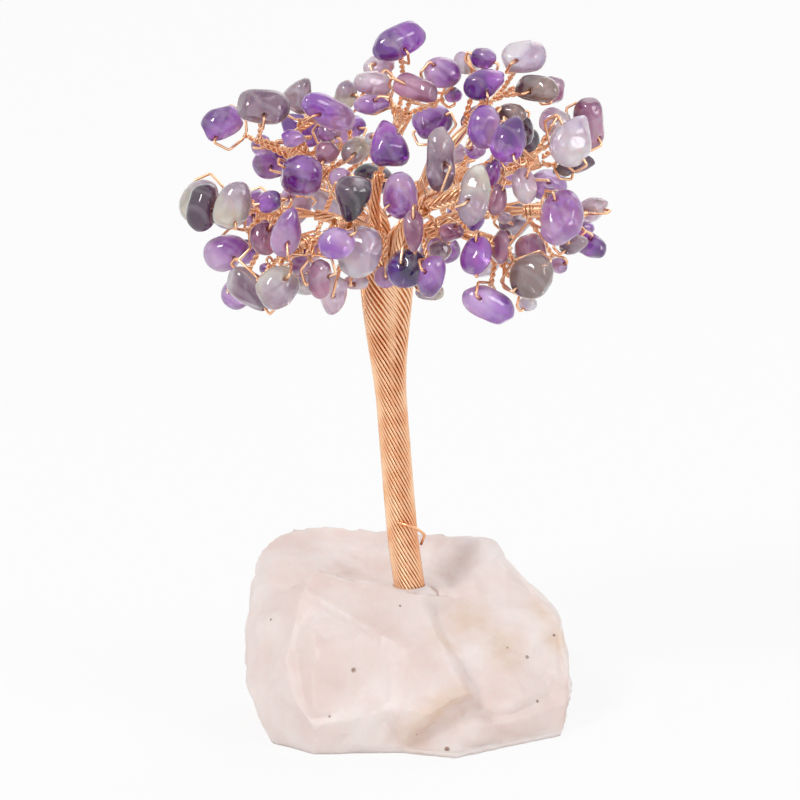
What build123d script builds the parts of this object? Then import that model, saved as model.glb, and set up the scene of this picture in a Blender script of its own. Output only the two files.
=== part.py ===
from build123d import *
import math
import os

import numpy as np

# Gemstone tree ornament: amethyst chips on twisted copper wire, planted in a rough quartz stone.
# Origin at the middle of the stone's underside, +Z up, the front faces -Y.

# Places read from the picture, in pixels of its 800 x 800 frame, and how they become sizes.
pixel_size = 0.178
camera_pitch = 15.0
axis_column = 408.0
foot_row = 590.0
foot_height = 24.5
crown_half_depth = 30.0

# Wire
wire_diameter = 0.5
wire_gap = 0.05
twig_diameter = 1.05
twig_bend_radius = 1.0
wire_sides = 8
core_sides = 16

# Trunk
trunk_diameter = 5.5
trunk_top_diameter = 9.8
trunk_twist_pitch = 36.0
trunk_seat_gap = 0.05
trunk_line_pixels = (
    (414, 640),
    (409, 583),
    (405, 555),
    (399.5, 501),
    (394, 432),
    (389, 365),
    (387, 306),
    (387, 262),
)

# Stone, with the hole that takes the trunk and the glue round it
stone_width = 60.0
stone_depth = 48.0
stone_height = 31.0
hole_diameter = 8.6
glue_rise = 0.8

# Limbs: a core of straight wires with a layer of laid wires round its lower part
limb_core_diameter = 0.96
limb_end_diameter = 1.9
limb_twist_pitch = 14.0
limb_seat_gap = 0.3
limb_ring_radius = 3.72
limb_centre_radius = 1.42
limb_rise = 9.0

# Chips and the holes drilled through them
chip_hole_diameter = 1.15
chip_least_depth = 3.2
chip_most_depth = 5.4
chip_gap = 0.95
limb_gap = 1.7
loop_leg_gap = 0.46
loop_neck = 0.95
loop_shoulder_radius = 0.7
loop_corner_radius = 0.4
twig_clearance = 0.3
least_twig = 1.6
root_gap = 0.15

# Outlines of the tumbled chips: eight radii as shares of an oval, from the long end round
form_shares = {
    "oval": (1.0, 0.99, 0.96, 1.01, 0.98, 1.0, 0.97, 0.98),
    "bean": (1.0, 1.02, 0.94, 1.0, 0.98, 0.94, 0.80, 0.95),
    "drop": (1.0, 0.76, 0.86, 0.98, 0.97, 1.0, 0.90, 0.78),
    "triangle": (1.0, 0.70, 0.76, 1.03, 0.84, 1.03, 0.78, 0.70),
    "slab": (0.96, 1.04, 0.95, 1.03, 0.98, 1.04, 0.94, 1.02),
    "wedge": (0.97, 0.84, 0.84, 1.0, 0.98, 1.05, 0.95, 0.82),
}
# How a chip swells from its lower face to its upper one: height and outline, as shares
swell_shares = ((-0.93, 0.42), (-0.62, 0.80), (0.0, 1.0), (0.62, 0.80), (0.93, 0.42))

# The chips of each limb: column, row, length, width, tilt, depth, outline.
# The first line of a limb is the end of its wires: column, row and depth share.
# Depth is a share of the crown's half depth, less than zero towards the front.
limbs = {
    "right": ((545, 212, -0.08), (
        (553, 219, 58, 44, 80, -0.38, "oval"),
        (563, 197, 32, 14, 0, 0.02, "slab"),
        (590, 209, 36, 26, 30, 0.08, "drop"),
        (583, 228, 22, 16, 0, 0.22, "oval"),
        (586, 245, 42, 24, -40, -0.10, "slab"),
        (562, 249, 30, 22, 10, -0.26, "wedge"),
        (558, 266, 16, 14, 0, 0.0, "oval"),
        (506, 225, 14, 12, 0, -0.20, "oval"),
    )),
    "back_right": ((462, 172, 0.52), (
        (430, 122, 44, 34, 25, 0.66, "oval"),
        (482, 122, 42, 34, -30, 0.60, "wedge"),
        (524, 148, 46, 34, 60, 0.52, "bean"),
        (548, 184, 42, 32, 10, 0.45, "oval"),
        (502, 172, 46, 36, -20, 0.80, "drop"),
        (452, 160, 44, 36, 70, 0.95, "oval"),
        (418, 196, 44, 34, 15, 0.85, "triangle"),
        (466, 214, 46, 34, -35, 0.82, "slab"),
        (516, 222, 40, 32, 45, 0.60, "bean"),
        (440, 248, 42, 32, -10, 0.66, "oval"),
        (488, 256, 44, 34, 30, 0.52, "wedge"),
    )),
    "back_left": ((326, 172, 0.52), (
        (272, 160, 44, 34, 30, 0.52, "oval"),
        (300, 130, 46, 34, -20, 0.62, "bean"),
        (346, 126, 42, 34, 10, 0.75, "wedge"),
        (250, 206, 42, 32, 60, 0.48, "drop"),
        (290, 208, 46, 36, 20, 0.72, "oval"),
        (330, 198, 48, 36, -30, 0.92, "slab"),
        (308, 250, 42, 34, 10, 0.60, "triangle"),
        (352, 244, 44, 34, 70, 0.78, "oval"),
        (374, 178, 44, 34, 0, 0.90, "bean"),
        (388, 140, 36, 28, 40, 0.62, "oval"),
    )),
    "upper_left": ((292, 150, 0.16), (
        (223, 125, 45, 36, 25, 0.15, "bean"),
        (268, 111, 56, 36, 0, 0.0, "slab"),
        (299, 97, 38, 35, 60, 0.20, "triangle"),
        (340, 110, 68, 30, -28, 0.02, "slab"),
        (318, 109, 22, 16, 90, 0.38, "oval"),
        (330, 133, 24, 20, 0, 0.24, "wedge"),
        (346, 96, 30, 22, 80, 0.36, "oval"),
        (262, 146, 22, 22, 0, 0.34, "oval"),
        (293, 139, 28, 18, 10, -0.05, "drop"),
        (328, 156, 24, 24, 0, -0.02, "wedge"),
        (305, 176, 46, 44, 30, -0.12, "oval"),
        (355, 153, 34, 28, 20, 0.08, "bean"),
    )),
    "left": ((262, 214, 0.02), (
        (200, 202, 46, 40, 70, 0.22, "oval"),
        (208, 214, 48, 34, 80, -0.06, "bean"),
        (238, 211, 52, 36, 75, -0.22, "oval"),
        (269, 204, 26, 22, 10, -0.30, "slab"),
        (289, 196, 14, 14, 0, 0.10, "oval"),
        (226, 249, 48, 38, 20, -0.06, "wedge"),
        (246, 252, 26, 26, 0, 0.20, "oval"),
        (266, 242, 36, 30, 80, -0.26, "oval"),
        (238, 291, 38, 34, 60, 0.12, "drop"),
    )),
    "lower_left": ((284, 256, -0.36), (
        (288, 236, 52, 32, 85, -0.58, "drop"),
        (303, 252, 20, 12, 80, -0.26, "oval"),
        (301, 268, 22, 16, 0, -0.44, "slab"),
        (268, 268, 18, 12, 0, -0.22, "oval"),
        (252, 288, 58, 34, -35, -0.28, "slab"),
        (281, 287, 46, 40, 40, -0.58, "oval"),
        (307, 287, 26, 24, 0, -0.34, "bean"),
    )),
    "front_left": ((338, 226, -0.50), (
        (322, 280, 40, 26, 80, -0.66, "bean"),
        (335, 294, 40, 31, -90, -0.42, "wedge"),
        (338, 246, 36, 32, 0, -0.74, "oval"),
        (360, 253, 54, 44, 80, -0.58, "slab"),
        (358, 201, 48, 42, -90, -0.60, "triangle"),
        (341, 181, 24, 20, 0, -0.30, "oval"),
        (382, 279, 22, 22, 0, -0.36, "oval"),
        (361, 284, 26, 14, 0, -0.34, "slab"),
    )),
    "front": ((422, 214, -0.46), (
        (403, 193, 48, 36, 80, -0.50, "oval"),
        (438, 174, 68, 30, 86, -0.50, "slab"),
        (472, 193, 66, 31, 88, -0.58, "oval"),
        (415, 234, 42, 20, -90, -0.66, "wedge"),
        (436, 267, 44, 28, 85, -0.66, "bean"),
        (405, 270, 42, 40, 0, -0.52, "oval"),
        (429, 292, 30, 18, 0, -0.38, "slab"),
        (442, 246, 22, 20, 0, -0.28, "oval"),
        (453, 237, 26, 20, 0, -0.50, "wedge"),
    )),
    "lower_right": ((500, 248, -0.38), (
        (538, 255, 70, 34, 85, -0.30, "slab"),
        (521, 281, 46, 44, 30, -0.56, "oval"),
        (495, 300, 56, 36, -30, -0.58, "bean"),
        (527, 305, 18, 14, 0, -0.26, "oval"),
        (469, 253, 40, 32, 80, -0.62, "oval"),
        (494, 252, 36, 14, 85, -0.60, "slab"),
        (506, 241, 20, 14, 80, -0.16, "oval"),
        (515, 262, 22, 18, 0, -0.10, "wedge"),
    )),
    "top_right": ((484, 110, 0.10), (
        (466, 65, 30, 24, 0, 0.30, "wedge"),
        (483, 62, 28, 20, 0, 0.10, "oval"),
        (487, 85, 46, 32, 20, -0.04, "drop"),
        (520, 61, 46, 34, 10, 0.15, "slab"),
        (531, 92, 50, 26, -10, -0.02, "slab"),
        (552, 92, 30, 26, 90, 0.26, "oval"),
        (510, 117, 30, 20, 0, -0.10, "oval"),
        (528, 131, 32, 16, 90, 0.14, "slab"),
        (487, 133, 44, 36, 80, -0.24, "bean"),
        (475, 152, 20, 20, 0, 0.0, "wedge"),
    )),
    "top": ((404, 118, 0.06), (
        (366, 92, 40, 28, 0, 0.04, "bean"),
        (379, 69, 34, 24, 20, 0.22, "oval"),
        (378, 108, 36, 22, 10, -0.14, "drop"),
        (399, 46, 60, 36, 15, 0.10, "bean"),
        (407, 94, 58, 24, -25, -0.10, "slab"),
        (445, 73, 38, 32, 0, 0.14, "oval"),
        (453, 96, 18, 16, 0, 0.24, "oval"),
        (369, 139, 14, 12, 0, 0.0, "oval"),
        (389, 153, 52, 46, 90, -0.34, "triangle"),
    )),
    "upper_right": ((534, 164, -0.10), (
        (551, 124, 32, 30, 0, 0.10, "oval"),
        (588, 125, 56, 34, 90, 0.16, "bean"),
        (570, 143, 56, 46, 60, -0.20, "drop"),
        (572, 171, 50, 14, 5, -0.02, "slab"),
        (503, 148, 48, 40, 70, -0.46, "drop"),
        (491, 175, 28, 16, 80, -0.20, "oval"),
        (498, 199, 34, 20, 80, -0.36, "wedge"),
        (524, 193, 36, 25, 90, -0.40, "oval"),
    )),
}
ring_limbs = [
    "right", "back_right", "back_left", "upper_left", "left",
    "lower_left", "front_left", "front", "lower_right",
]
centre_limbs = ["top_right", "top", "upper_right"]
ring_start_angle = 10.0
centre_start_angle = 30.0

os.makedirs("parts", exist_ok=True)

tilt = math.radians(camera_pitch)
front = np.array((0.0, -1.0, 0.0))
up = np.array((0.0, 0.0, 1.0))


def place(column, row, depth):
    # The point of the model that a pixel shows, at a given depth behind the trunk's foot.
    seen_height = (foot_row - row) * pixel_size + foot_height * math.cos(tilt)
    height = (seen_height - depth * math.sin(tilt)) / math.cos(tilt)
    return np.array(((column - axis_column) * pixel_size, depth, height))


def unit(v):
    return v / np.linalg.norm(v)


def across(v, hint):
    # A unit vector square to v, as near to hint as it can be.
    return unit(hint - v * np.dot(hint, v))


def tube(points, normals, hints, radii, sides):
    # A rod through the points: a smooth skin over many-sided rings square to its run.
    rings = []
    for p, n, h, r in zip(points, normals, hints, radii):
        other = np.cross(n, h)
        corners = []
        for k in range(sides):
            angle = 2 * math.pi * k / sides
            corners.append(tuple(p + (h * math.cos(angle) + other * math.sin(angle)) * r))
        rings.append(Wire.make_polygon(corners, close=True))
    return Solid.make_loft(rings)


def save(name, solids):
    export_step(Compound(children=list(solids)), "parts/" + name + ".step")


def smooth_step(x):
    x = min(max(x, 0.0), 1.0)
    return x * x * (3 - 2 * x)


# Trunk: its leaning line, its radius along that line, and the wires laid round it
trunk_line = Spline(*[tuple(place(c, r, 0.0)) for c, r in trunk_line_pixels])
trunk_length = trunk_line.length
flare_start_share = 0.62
helix_steps_per_turn = 14


def trunk_radius(share):
    grow = smooth_step((share - flare_start_share) / (1 - flare_start_share))
    return (trunk_diameter + (trunk_top_diameter - trunk_diameter) * grow) / 2


def line_frame(line, share):
    centre = np.array(tuple(line @ share))
    run = unit(np.array(tuple(line % share)))
    side = across(run, np.array((1.0, 0.0, 0.0)))
    return centre, run, side, np.cross(run, side)


def laid_wires(line, length, pitch, radius_at, count, end_share, start_share=0.0):
    # Wires laid side by side round a line, falling to the right as seen from outside.
    solids = []
    turns = length * (end_share - start_share) / pitch
    steps = max(4, round(turns * helix_steps_per_turn))
    for k in range(count):
        points, hints = [], []
        for i in range(steps + 1):
            share = start_share + (end_share - start_share) * i / steps
            centre, run, side, other = line_frame(line, share)
            angle = 2 * math.pi * (k / count - length * (share - start_share) / pitch)
            out = side * math.cos(angle) + other * math.sin(angle)
            points.append(centre + out * (radius_at(share) - wire_diameter / 2))
            hints.append(out)
        normals = [unit(points[min(i + 1, steps)] - points[max(i - 1, 0)]) for i in range(steps + 1)]
        normals[0] = unit(normals[0])
        hints = [across(n, h) for n, h in zip(normals, hints)]
        solids.append(tube(points, normals, hints, [wire_diameter / 2] * (steps + 1), wire_sides))
    return solids


def wires_round(radius, pitch):
    # How many wires lie side by side round a circle, each leaning with the twist.
    around = 2 * math.pi * (radius - wire_diameter / 2)
    lean = math.cos(math.atan2(around, pitch))
    return int(around * lean / (wire_diameter + wire_gap))


trunk_wire_count = wires_round(trunk_diameter / 2, trunk_twist_pitch)
trunk_core_steps = 16
core_frames = [line_frame(trunk_line, i / trunk_core_steps) for i in range(trunk_core_steps + 1)]
trunk_core = tube(
    [f[0] for f in core_frames],
    [f[1] for f in core_frames],
    [f[2] for f in core_frames],
    [trunk_radius(i / trunk_core_steps) - wire_diameter - wire_gap for i in range(trunk_core_steps + 1)],
    core_sides,
)
trunk_wires = laid_wires(
    trunk_line, trunk_length, trunk_twist_pitch, trunk_radius, trunk_wire_count, 1.0
)
save("trunk_core", [trunk_core])
save("trunk_strands", trunk_wires)
trunk_top, top_run, top_side, top_other = line_frame(trunk_line, 1.0)

# Stone: four irregular outlines from the underside up, skinned with flat-sided faces,
# then broken away behind the crest, down the front valley and along the upper edges
stone_level_shares = (0.0, 0.29, 0.65, 1.0)
stone_outline_shares = (
    ((-0.41, -0.29), (-0.28, -0.44), (-0.03, -0.42), (0.14, -0.49), (0.28, -0.36),
     (0.46, -0.21), (0.47, 0.12), (0.32, 0.44), (-0.10, 0.50), (-0.43, 0.33)),
    ((-0.47, -0.25), (-0.28, -0.49), (-0.03, -0.46), (0.17, -0.50), (0.32, -0.38),
     (0.49, -0.15), (0.49, 0.17), (0.33, 0.46), (-0.10, 0.50), (-0.49, 0.29)),
    ((-0.47, -0.17), (-0.28, -0.40), (-0.07, -0.35), (0.10, -0.25), (0.27, -0.19),
     (0.45, -0.06), (0.45, 0.19), (0.32, 0.46), (-0.10, 0.50), (-0.475, 0.27)),
    ((-0.42, -0.02), (-0.27, -0.17), (-0.11, -0.16), (0.00, -0.13), (0.10, -0.02),
     (0.29, 0.12), (0.27, 0.30), (0.22, 0.45), (-0.10, 0.49), (-0.44, 0.40)),
)
stone_levels = []
for level, outline in zip(stone_level_shares, stone_outline_shares):
    corners = [(x * stone_width, y * stone_depth, level * stone_height) for x, y in outline]
    stone_levels.append(Wire.make_polygon(corners, close=True))
stone = Solid.make_loft(stone_levels, ruled=True)


def break_away(solid, corner_shares, facing_shares):
    # Takes off what stands outside a flat face through a corner, both in shares of the stone.
    size = (stone_width, stone_depth, stone_height)
    corner = tuple(c * s for c, s in zip(corner_shares, size))
    facing = Vector(*(f / s for f, s in zip(facing_shares, size))).normalized()
    cutter = Plane(origin=corner, z_dir=facing) * Box(
        3 * stone_width, 3 * stone_width, stone_width, align=(Align.CENTER, Align.CENTER, Align.MIN))
    return solid - cutter


# Behind the crest the top falls back to the plateau that the trunk stands on
plateau_share = foot_height / stone_height
crest_line_share = -0.12
plateau = Polyline(
    (crest_line_share * stone_depth, stone_height * 1.1),
    (crest_line_share * stone_depth, stone_height * 0.97),
    (-0.07 * stone_depth, foot_height - stone_height * 0.02),
    (0.10 * stone_depth, foot_height),
    (0.51 * stone_depth, stone_height * 0.95),
    (0.51 * stone_depth, stone_height * 1.1),
    close=True,
)
plateau_cut = extrude(Plane.YZ.offset(-stone_width * 0.52) * make_face(plateau), stone_width * 1.04)
stone = stone - plateau_cut
for corner_shares, facing_shares in (
    ((0.34, 0.10, 0.79), (0.55, -0.05, 1.0)),
    ((0.10, -0.06, 0.80), (0.35, -0.50, 0.60)),
    ((-0.46, 0.05, 0.72), (-0.80, -0.10, 0.55)),
    ((-0.30, -0.17, 0.92), (-0.25, -0.45, 0.60)),
    ((0.47, 0.10, 0.60), (1.0, 0.15, 0.45)),
    ((-0.20, 0.48, 0.90), (-0.10, 1.0, 0.60)),
):
    stone = break_away(stone, corner_shares, facing_shares)
# The hollow of a conchoidal break, from the trunk's foot down the front
hollow_radius = stone_width * 0.33
hollow = Pos(stone_width * 0.30, -stone_depth * 0.64, stone_height * 1.02) * Sphere(hollow_radius)
stone = stone - hollow
hole_frame = Plane(origin=tuple(place(*trunk_line_pixels[0], 0.0)), z_dir=tuple(core_frames[0][1]))
hole_depth_below = wire_diameter
drill_reach = stone_height
trunk_hole = hole_frame * Pos(0, 0, -hole_depth_below) * Cylinder(
    hole_diameter / 2, drill_reach, align=(Align.CENTER, Align.CENTER, Align.MIN))
stone = (stone - trunk_hole).solid()
save("base_stone", [stone])
# Glue fills the hole round the trunk, with the same clearance to the stone and to the wires
glue_top = foot_height + glue_rise
glue_height = glue_top - float(place(*trunk_line_pixels[0], 0.0)[2])
glue = hole_frame * Cylinder(
    hole_diameter / 2 - wire_gap, glue_height, align=(Align.CENTER, Align.CENTER, Align.MIN))
glue_steps = 6
socket_frames = [line_frame(trunk_line, i / trunk_core_steps) for i in range(glue_steps + 1)]
trunk_socket = tube(
    [f[0] - f[1] * (wire_diameter * 4 if i == 0 else 0.0) for i, f in enumerate(socket_frames)],
    [f[1] for f in socket_frames],
    [f[2] for f in socket_frames],
    [trunk_diameter / 2 + 2 * wire_gap] * (glue_steps + 1),
    core_sides * 2,
)
glue = (glue - trunk_socket).solid()
save("glue_bed", [glue])

# Loose end of one wire, sprung out of the trunk near its foot
loose_wire_pixels = ((397, 522), (417, 529), (425, 535), (421, 545))
loose_reach = trunk_diameter / 2 + wire_diameter / 2 + wire_gap * 2
loose_depth_shares = (1.0, 0.95, 0.72, 0.55)
loose_points = [
    tuple(place(c, r, -loose_reach * d))
    for (c, r), d in zip(loose_wire_pixels, loose_depth_shares)
]
loose_bend = wire_diameter * 1.1
loose_path = FilletPolyline(*loose_points, radius=loose_bend)
loose_start = Plane(origin=loose_path @ 0, z_dir=loose_path % 0)
save("loose_strand", [sweep(loose_start * Circle(wire_diameter / 2), loose_path).solid()])


# Limbs: where each starts on the trunk's top and the line that it follows
def limb_line(name):
    column, row, depth_share = limbs[name][0]
    end = place(column, row, depth_share * crown_half_depth)
    if name in ring_limbs:
        angle = ring_start_angle + 360 * ring_limbs.index(name) / len(ring_limbs)
        radius = limb_ring_radius
    else:
        angle = centre_start_angle + 360 * centre_limbs.index(name) / len(centre_limbs)
        radius = limb_centre_radius
    out = top_side * math.cos(math.radians(angle)) + top_other * math.sin(math.radians(angle))
    start = trunk_top + out * radius + top_run * limb_seat_gap
    lift = limb_rise if name in ring_limbs else max(limb_rise, (end[2] - start[2]) / 2)
    bend = start + top_run * lift + out * lift / 4
    return Bezier(tuple(start), tuple(start + (bend - start) / 2), tuple(bend), tuple(end))


limb_lines = {name: limb_line(name) for name in limbs}
limb_roots = {}
for name, line in limb_lines.items():
    outward = np.array(tuple(line @ 1.0)) - np.array(tuple(line @ 0.0))
    outward[2] = 0.0
    limb_roots[name] = ([float(v) for v in tuple(line @ 0.0)], [float(v) for v in unit(outward)])
strand_end_share = 0.58
limb_swell_share = 0.70
limb_steps = 10


def limb_radius(share):
    if share <= strand_end_share:
        return limb_core_diameter / 2
    grow = smooth_step((share - strand_end_share) / (limb_swell_share - strand_end_share))
    fade = (share - limb_swell_share) / (1 - limb_swell_share)
    taper = 1 - max(fade, 0.0) / 3
    return (limb_core_diameter + (limb_end_diameter - limb_core_diameter) * grow) / 2 * taper


limb_wire_radius = limb_core_diameter / 2 + wire_gap + wire_diameter
limb_wire_count = wires_round(limb_wire_radius, limb_twist_pitch)


# Chips: their middle, their three axes and half sizes, before they are pushed apart
class Chip:
    def __init__(self, limb, row_of_table, number):
        column, row, length, width, lean, depth_share, form = row_of_table
        self.limb, self.form, self.number = limb, form, number
        self.middle = place(column, row, depth_share * crown_half_depth)
        angle = math.radians(lean)
        seen_up = up * math.cos(tilt) + front * -math.sin(tilt)
        seen_right = np.array((1.0, 0.0, 0.0))
        along = seen_right * math.cos(angle) + seen_up * math.sin(angle)
        facing = np.cross(seen_right, seen_up)
        swing = math.radians(32.0) * math.sin(2.4 * number)
        nod = math.radians(24.0) * math.sin(1.7 * number + 1)
        facing = unit(facing + seen_right * math.tan(swing) + seen_up * math.tan(nod))
        self.along = across(facing, along)
        self.facing = facing
        self.wide = np.cross(facing, self.along)
        depth = min(max(width * pixel_size * 0.75, chip_least_depth), chip_most_depth)
        self.half = np.array((length * pixel_size / 2, width * pixel_size / 2, depth / 2))

    def axes(self):
        return np.array((self.along, self.wide, self.facing))


chips = []
for limb_name, (limb_end, rows) in limbs.items():
    for table_row in rows:
        chips.append(Chip(limb_name, table_row, len(chips)))

# Push the chips apart, mostly front to back, until each clears the next and the limbs
form_margin = 1.1
push_shares = np.array((0.35, 1.0, 0.35))
settle_rounds = 260
middles = np.array([c.middle for c in chips])
axes = np.array([c.axes() for c in chips])
halves = np.array([c.half for c in chips]) * form_margin
limb_of = np.array([list(limbs).index(c.limb) for c in chips])
first, second = np.triu_indices(len(chips), 1)
pair_gap = np.where(limb_of[first] == limb_of[second], chip_gap, limb_gap)
rod_points, rod_radii, rod_limb = [], [], []
for number, (name, line) in enumerate(limb_lines.items()):
    for i in range(2, 3 * limb_steps + 1):
        share = i / (3 * limb_steps)
        rod_points.append(np.array(tuple(line @ share)))
        rod_radii.append(max(limb_radius(share), limb_wire_radius if share < strand_end_share else 0.0))
        rod_limb.append(number)
for i in range(4 * trunk_core_steps + 1):
    share = i / (4 * trunk_core_steps)
    rod_points.append(np.array(tuple(trunk_line @ share)))
    rod_radii.append(trunk_radius(share))
    rod_limb.append(-1)
rod_points, rod_radii, rod_limb = np.array(rod_points), np.array(rod_radii), np.array(rod_limb)


def reach(which, directions):
    # How far each chip of the list reaches in its direction.
    local = np.einsum("nij,nj->ni", axes[which], directions)
    return np.linalg.norm(local * halves[which], axis=1)


rod_chip, rod_rod = np.meshgrid(np.arange(len(chips)), np.arange(len(rod_points)), indexing="ij")
rod_chip, rod_rod = rod_chip.ravel(), rod_rod.ravel()
rod_gap = np.where(limb_of[rod_chip] == rod_limb[rod_rod], chip_gap, limb_gap)
homes = middles.copy()
for settle in range(settle_rounds):
    move = np.zeros_like(middles)
    offset = middles[second] - middles[first]
    distance = np.linalg.norm(offset, axis=1)
    direction = offset / distance[:, None]
    lack = pair_gap + reach(first, direction) + reach(second, direction) - distance
    lack = np.clip(lack, 0.0, None)
    push = direction * (lack * 0.5)[:, None]
    np.add.at(move, second, push)
    np.add.at(move, first, -push)
    offset = middles[rod_chip] - rod_points[rod_rod]
    distance = np.linalg.norm(offset, axis=1)
    direction = offset / distance[:, None]
    lack = rod_gap + reach(rod_chip, direction) + rod_radii[rod_rod] - distance
    lack = np.clip(lack, 0.0, None)
    np.add.at(move, rod_chip, direction * (lack * 0.4)[:, None])
    middles = middles + move * push_shares
    if np.abs(move).max() < 0.004:
        break
for c, m in zip(chips, middles):
    c.middle = m
print("chips", len(chips), "settled after", settle + 1, "moved", round(float(np.abs(middles - homes).max()), 2))


# Twigs: each chip's pair of wires leaves its limb where the way to the chip is clear
forms_inverse = [a.T @ np.diag(1 / h**2) @ a for a, h in zip(axes, halves)]
forms_inverse = np.array(forms_inverse)


def clear_of_chips(points, others):
    # The least distance, near enough, from the points to the other chips.
    if len(others) == 0:
        return 1e9
    away = points[:, None, :] - middles[others][None, :, :]
    size = np.sqrt(np.einsum("pni,nij,pnj->pn", away, forms_inverse[others], away))
    gap = (1 - 1 / np.maximum(size, 1e-6)) * np.sqrt(np.einsum("pni,pni->pn", away, away))
    return float(gap.min())


def clear_of_points(points, others, radii):
    # The least distance from the points to round things about the other points.
    if len(others) == 0 or len(points) == 0:
        return 1e9
    away = points[:, None, :] - others[None, :, :]
    return float((np.sqrt(np.einsum("pni,pni->pn", away, away)) - radii[None, :]).min())


def near_to(centre, reach_out, points):
    return np.flatnonzero(np.linalg.norm(points - centre, axis=1) < reach_out)


def section_reach(own, aim, cross_way):
    # Half sizes of the chip where the loop's plane cuts it: along the twig and across it.
    q = forms_inverse[own]
    m_tt, m_uu, m_tu = aim @ q @ aim, cross_way @ q @ cross_way, aim @ q @ cross_way
    det = m_tt * m_uu - m_tu * m_tu
    return math.sqrt(m_uu / det), math.sqrt(m_tt / det)


root_shares = (0.74, 0.80, 0.86, 0.92, 0.97, 1.0, 0.70, 0.66)
elbow_share = 0.5
elbow_side_shares = (0.35, 0.6)
elbow_ways = 8
hole_ways = 6
shoulder_share = 0.78
sample_spacing = 0.45
slack_wanted = 0.15
placed_points = np.zeros((0, 3))
placed_radii = np.zeros(0)


def sampled(corners):
    points = []
    for a, b in zip(corners, corners[1:]):
        steps = max(2, int(np.linalg.norm(b - a) / sample_spacing))
        points.extend(a + (b - a) * i / steps for i in range(steps + 1))
    return np.array(points)


def twig_choice(chip, line, root_share, elbow, turn, near):
    # One way to wire a chip: where its twig leaves the limb, bends, and which way its hole runs.
    axis_point = np.array(tuple(line @ root_share))
    run = unit(np.array(tuple(line % root_share)))
    aim = unit(chip.middle - (axis_point if elbow is None else elbow))
    first_aim = aim if elbow is None else unit(elbow - axis_point)
    lean_cos = float(np.dot(first_aim, run))
    lean_sin = math.sqrt(max(1 - lean_cos**2, 1e-6))
    half_twig = twig_diameter / 2
    leave = (limb_radius(root_share) + root_gap + half_twig * abs(lean_cos)) / lean_sin
    if root_share == 1.0 and lean_cos > 0.3:
        leave = min(leave, (root_gap + half_twig * lean_sin) / lean_cos)
    base_hint = across(aim, chip.wide)
    angle = math.pi * turn / hole_ways
    cross_way = base_hint * math.cos(angle) + np.cross(aim, base_hint) * math.sin(angle)
    below, beside = section_reach(chip.number, aim, cross_way)
    root = axis_point + first_aim * leave
    join = chip.middle - aim * (below + loop_neck)
    corners = [root, join] if elbow is None else [root, elbow, join]
    for a, b in zip(corners, corners[1:]):
        if np.dot(b - a, aim if elbow is None or b is join else first_aim) < least_twig:
            return None
    stem = sampled(corners)
    leg = chip.middle + cross_way * (beside + loop_leg_gap)
    other_leg = chip.middle - cross_way * (beside + loop_leg_gap)
    shoulder = aim * below * shoulder_share
    loop = sampled([join, leg - shoulder, leg, other_leg, other_leg - shoulder, join])
    far_half = stem[len(stem) // 2:]
    wire_radius = wire_diameter / 2
    slack = min(
        clear_of_chips(stem, near["chips"]) - half_twig - twig_clearance,
        clear_of_chips(loop, near["chips"]) - wire_radius - twig_clearance,
        clear_of_points(stem, near["wires"], near["wire_radii"] + half_twig) - 2 * wire_gap,
        clear_of_points(loop, near["wires"], near["wire_radii"] + wire_radius) - 2 * wire_gap,
        clear_of_points(stem, near["rods"], near["rod_radii"] + half_twig) - twig_clearance,
        clear_of_points(loop, near["rods"], near["rod_radii"] + wire_radius) - twig_clearance,
        clear_of_points(far_half, near["own_rods"], near["own_radii"] + half_twig),
    )
    length = sum(float(np.linalg.norm(b - a)) for a, b in zip(corners, corners[1:]))
    score = min(slack, slack_wanted) - 0.004 * length - (0.02 if elbow is not None else 0.0)
    return {
        "score": score, "slack": slack, "corners": corners, "aim": aim, "cross_way": cross_way,
        "below": below, "beside": beside, "stem": stem, "loop": loop,
    }


order = sorted(range(len(chips)), key=lambda n: np.linalg.norm(
    middles[n] - np.array(tuple(limb_lines[chips[n].limb] @ 1.0))))
for n in order:
    chip = chips[n]
    line = limb_lines[chip.limb]
    limb_end_point = np.array(tuple(line @ 1.0))
    centre = (limb_end_point + chip.middle) / 2
    around = np.linalg.norm(limb_end_point - chip.middle) * 0.8 + 3 * chip_most_depth
    near_chips = near_to(centre, around, middles)
    near_wires = near_to(centre, around, placed_points)
    near_rods = near_to(centre, around, rod_points)
    own = rod_limb[near_rods] == list(limbs).index(chip.limb)
    near = {
        "chips": near_chips[near_chips != n],
        "wires": placed_points[near_wires], "wire_radii": placed_radii[near_wires],
        "rods": rod_points[near_rods[~own]], "rod_radii": rod_radii[near_rods[~own]],
        "own_rods": rod_points[near_rods[own]], "own_radii": rod_radii[near_rods[own]],
    }
    best = None
    for root_share in root_shares:
        for turn in range(hole_ways):
            choice = twig_choice(chip, line, root_share, None, turn, near)
            if choice and (best is None or choice["score"] > best["score"]):
                best = choice
    if best is None or best["slack"] < 0.05:
        for root_share in root_shares[:6]:
            axis_point = np.array(tuple(line @ root_share))
            way = chip.middle - axis_point
            span = float(np.linalg.norm(way))
            side = across(way / span, chip.facing)
            other_side = np.cross(way / span, side)
            for side_share in elbow_side_shares:
                for k in range(elbow_ways):
                    angle = 2 * math.pi * k / elbow_ways
                    out = side * math.cos(angle) + other_side * math.sin(angle)
                    elbow = axis_point + way * elbow_share + out * span * side_share
                    for turn in range(0, hole_ways, 2):
                        choice = twig_choice(chip, line, root_share, elbow, turn, near)
                        if choice and (best is None or choice["score"] > best["score"]):
                            best = choice
    chip.twig = best
    placed_points = np.vstack((placed_points, best["stem"], best["loop"]))
    placed_radii = np.concatenate((
        placed_radii,
        np.full(len(best["stem"]), twig_diameter / 2),
        np.full(len(best["loop"]), wire_diameter / 2),
    ))
worst = sorted((round(c.twig["slack"], 2), c.limb, c.number) for c in chips)[:14]
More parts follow.
